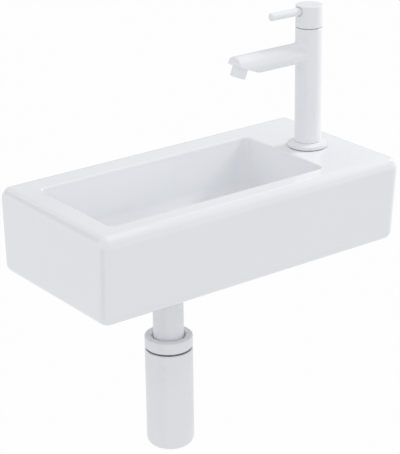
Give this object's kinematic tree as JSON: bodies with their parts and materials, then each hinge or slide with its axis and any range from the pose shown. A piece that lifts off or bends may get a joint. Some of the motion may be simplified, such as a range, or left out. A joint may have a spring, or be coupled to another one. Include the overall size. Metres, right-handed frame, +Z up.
{
  "type": "hand basin with tap",
  "caption": "Small wall-hung ceramic hand basin with a rectangular bowl, a deck at the right that carries a quarter-turn lever tap, and a bottle trap under the bowl.",
  "frame": {"origin": "on the wall, midway between the two wall fixing holes", "axes": "+X along the basin to the user's right, +Y into the wall, +Z up"},
  "size_m": [0.3726, 0.1813, 0.4435],
  "materials": {
    "glaze": "glossy white glaze",
    "white_coat": "satin white coat over brass",
    "brass": "turned brass",
    "steel": "plain steel",
    "rubber": "black rubber",
    "white_plastic": "moulded white plastic",
    "grey_plastic": "moulded grey plastic",
    "disc_ceramic": "lapped ceramic"
  },
  "bodies": {
    "basin": {"basin": "glaze", "waste_body": "white_coat", "waste_cover": "white_coat", "waste_cover_screw": "steel", "waste_flange_gasket": "rubber", "waste_backnut_seal": "rubber", "waste_backnut": "white_plastic", "tail_union_nut": "white_coat", "tail_union_gasket": "rubber", "inlet_tube": "white_coat", "trap_collar": "white_coat", "trap_slip_ring": "white_plastic", "trap_collar_seal": "rubber", "trap_neck_gasket": "rubber", "trap_bottle": "white_coat", "trap_dip_insert": "white_plastic", "trap_outlet_socket": "white_coat", "trap_outlet_seal": "rubber", "tap_body": "white_coat", "tap_base_flange": "white_coat", "tap_base_gasket": "rubber", "tap_shank": "brass", "tap_clamp_seal": "rubber", "tap_clamp_washer": "steel", "tap_backnut": "brass", "aerator_housing": "white_coat", "aerator_cartridge": "white_plastic", "aerator_washer": "rubber", "valve_body": "brass", "valve_seat_seal": "rubber", "valve_fixed_disc": "disc_ceramic", "head_glide_ring": "grey_plastic"},
    "handle": {"handle_head": "white_coat", "lever_pin": "white_coat", "grub_screw": "steel", "valve_spindle": "brass", "valve_turning_disc": "disc_ceramic", "spindle_o_ring": "rubber", "spindle_circlip": "steel"}
  },
  "joints": [
    {"name": "lever_turn", "type": "hinge", "parent": "basin", "child": "handle", "pos_m": [0.1355, -0.091, 0.18], "axis": [0, 0, 1], "range_deg": [0, 90]}
  ]
}
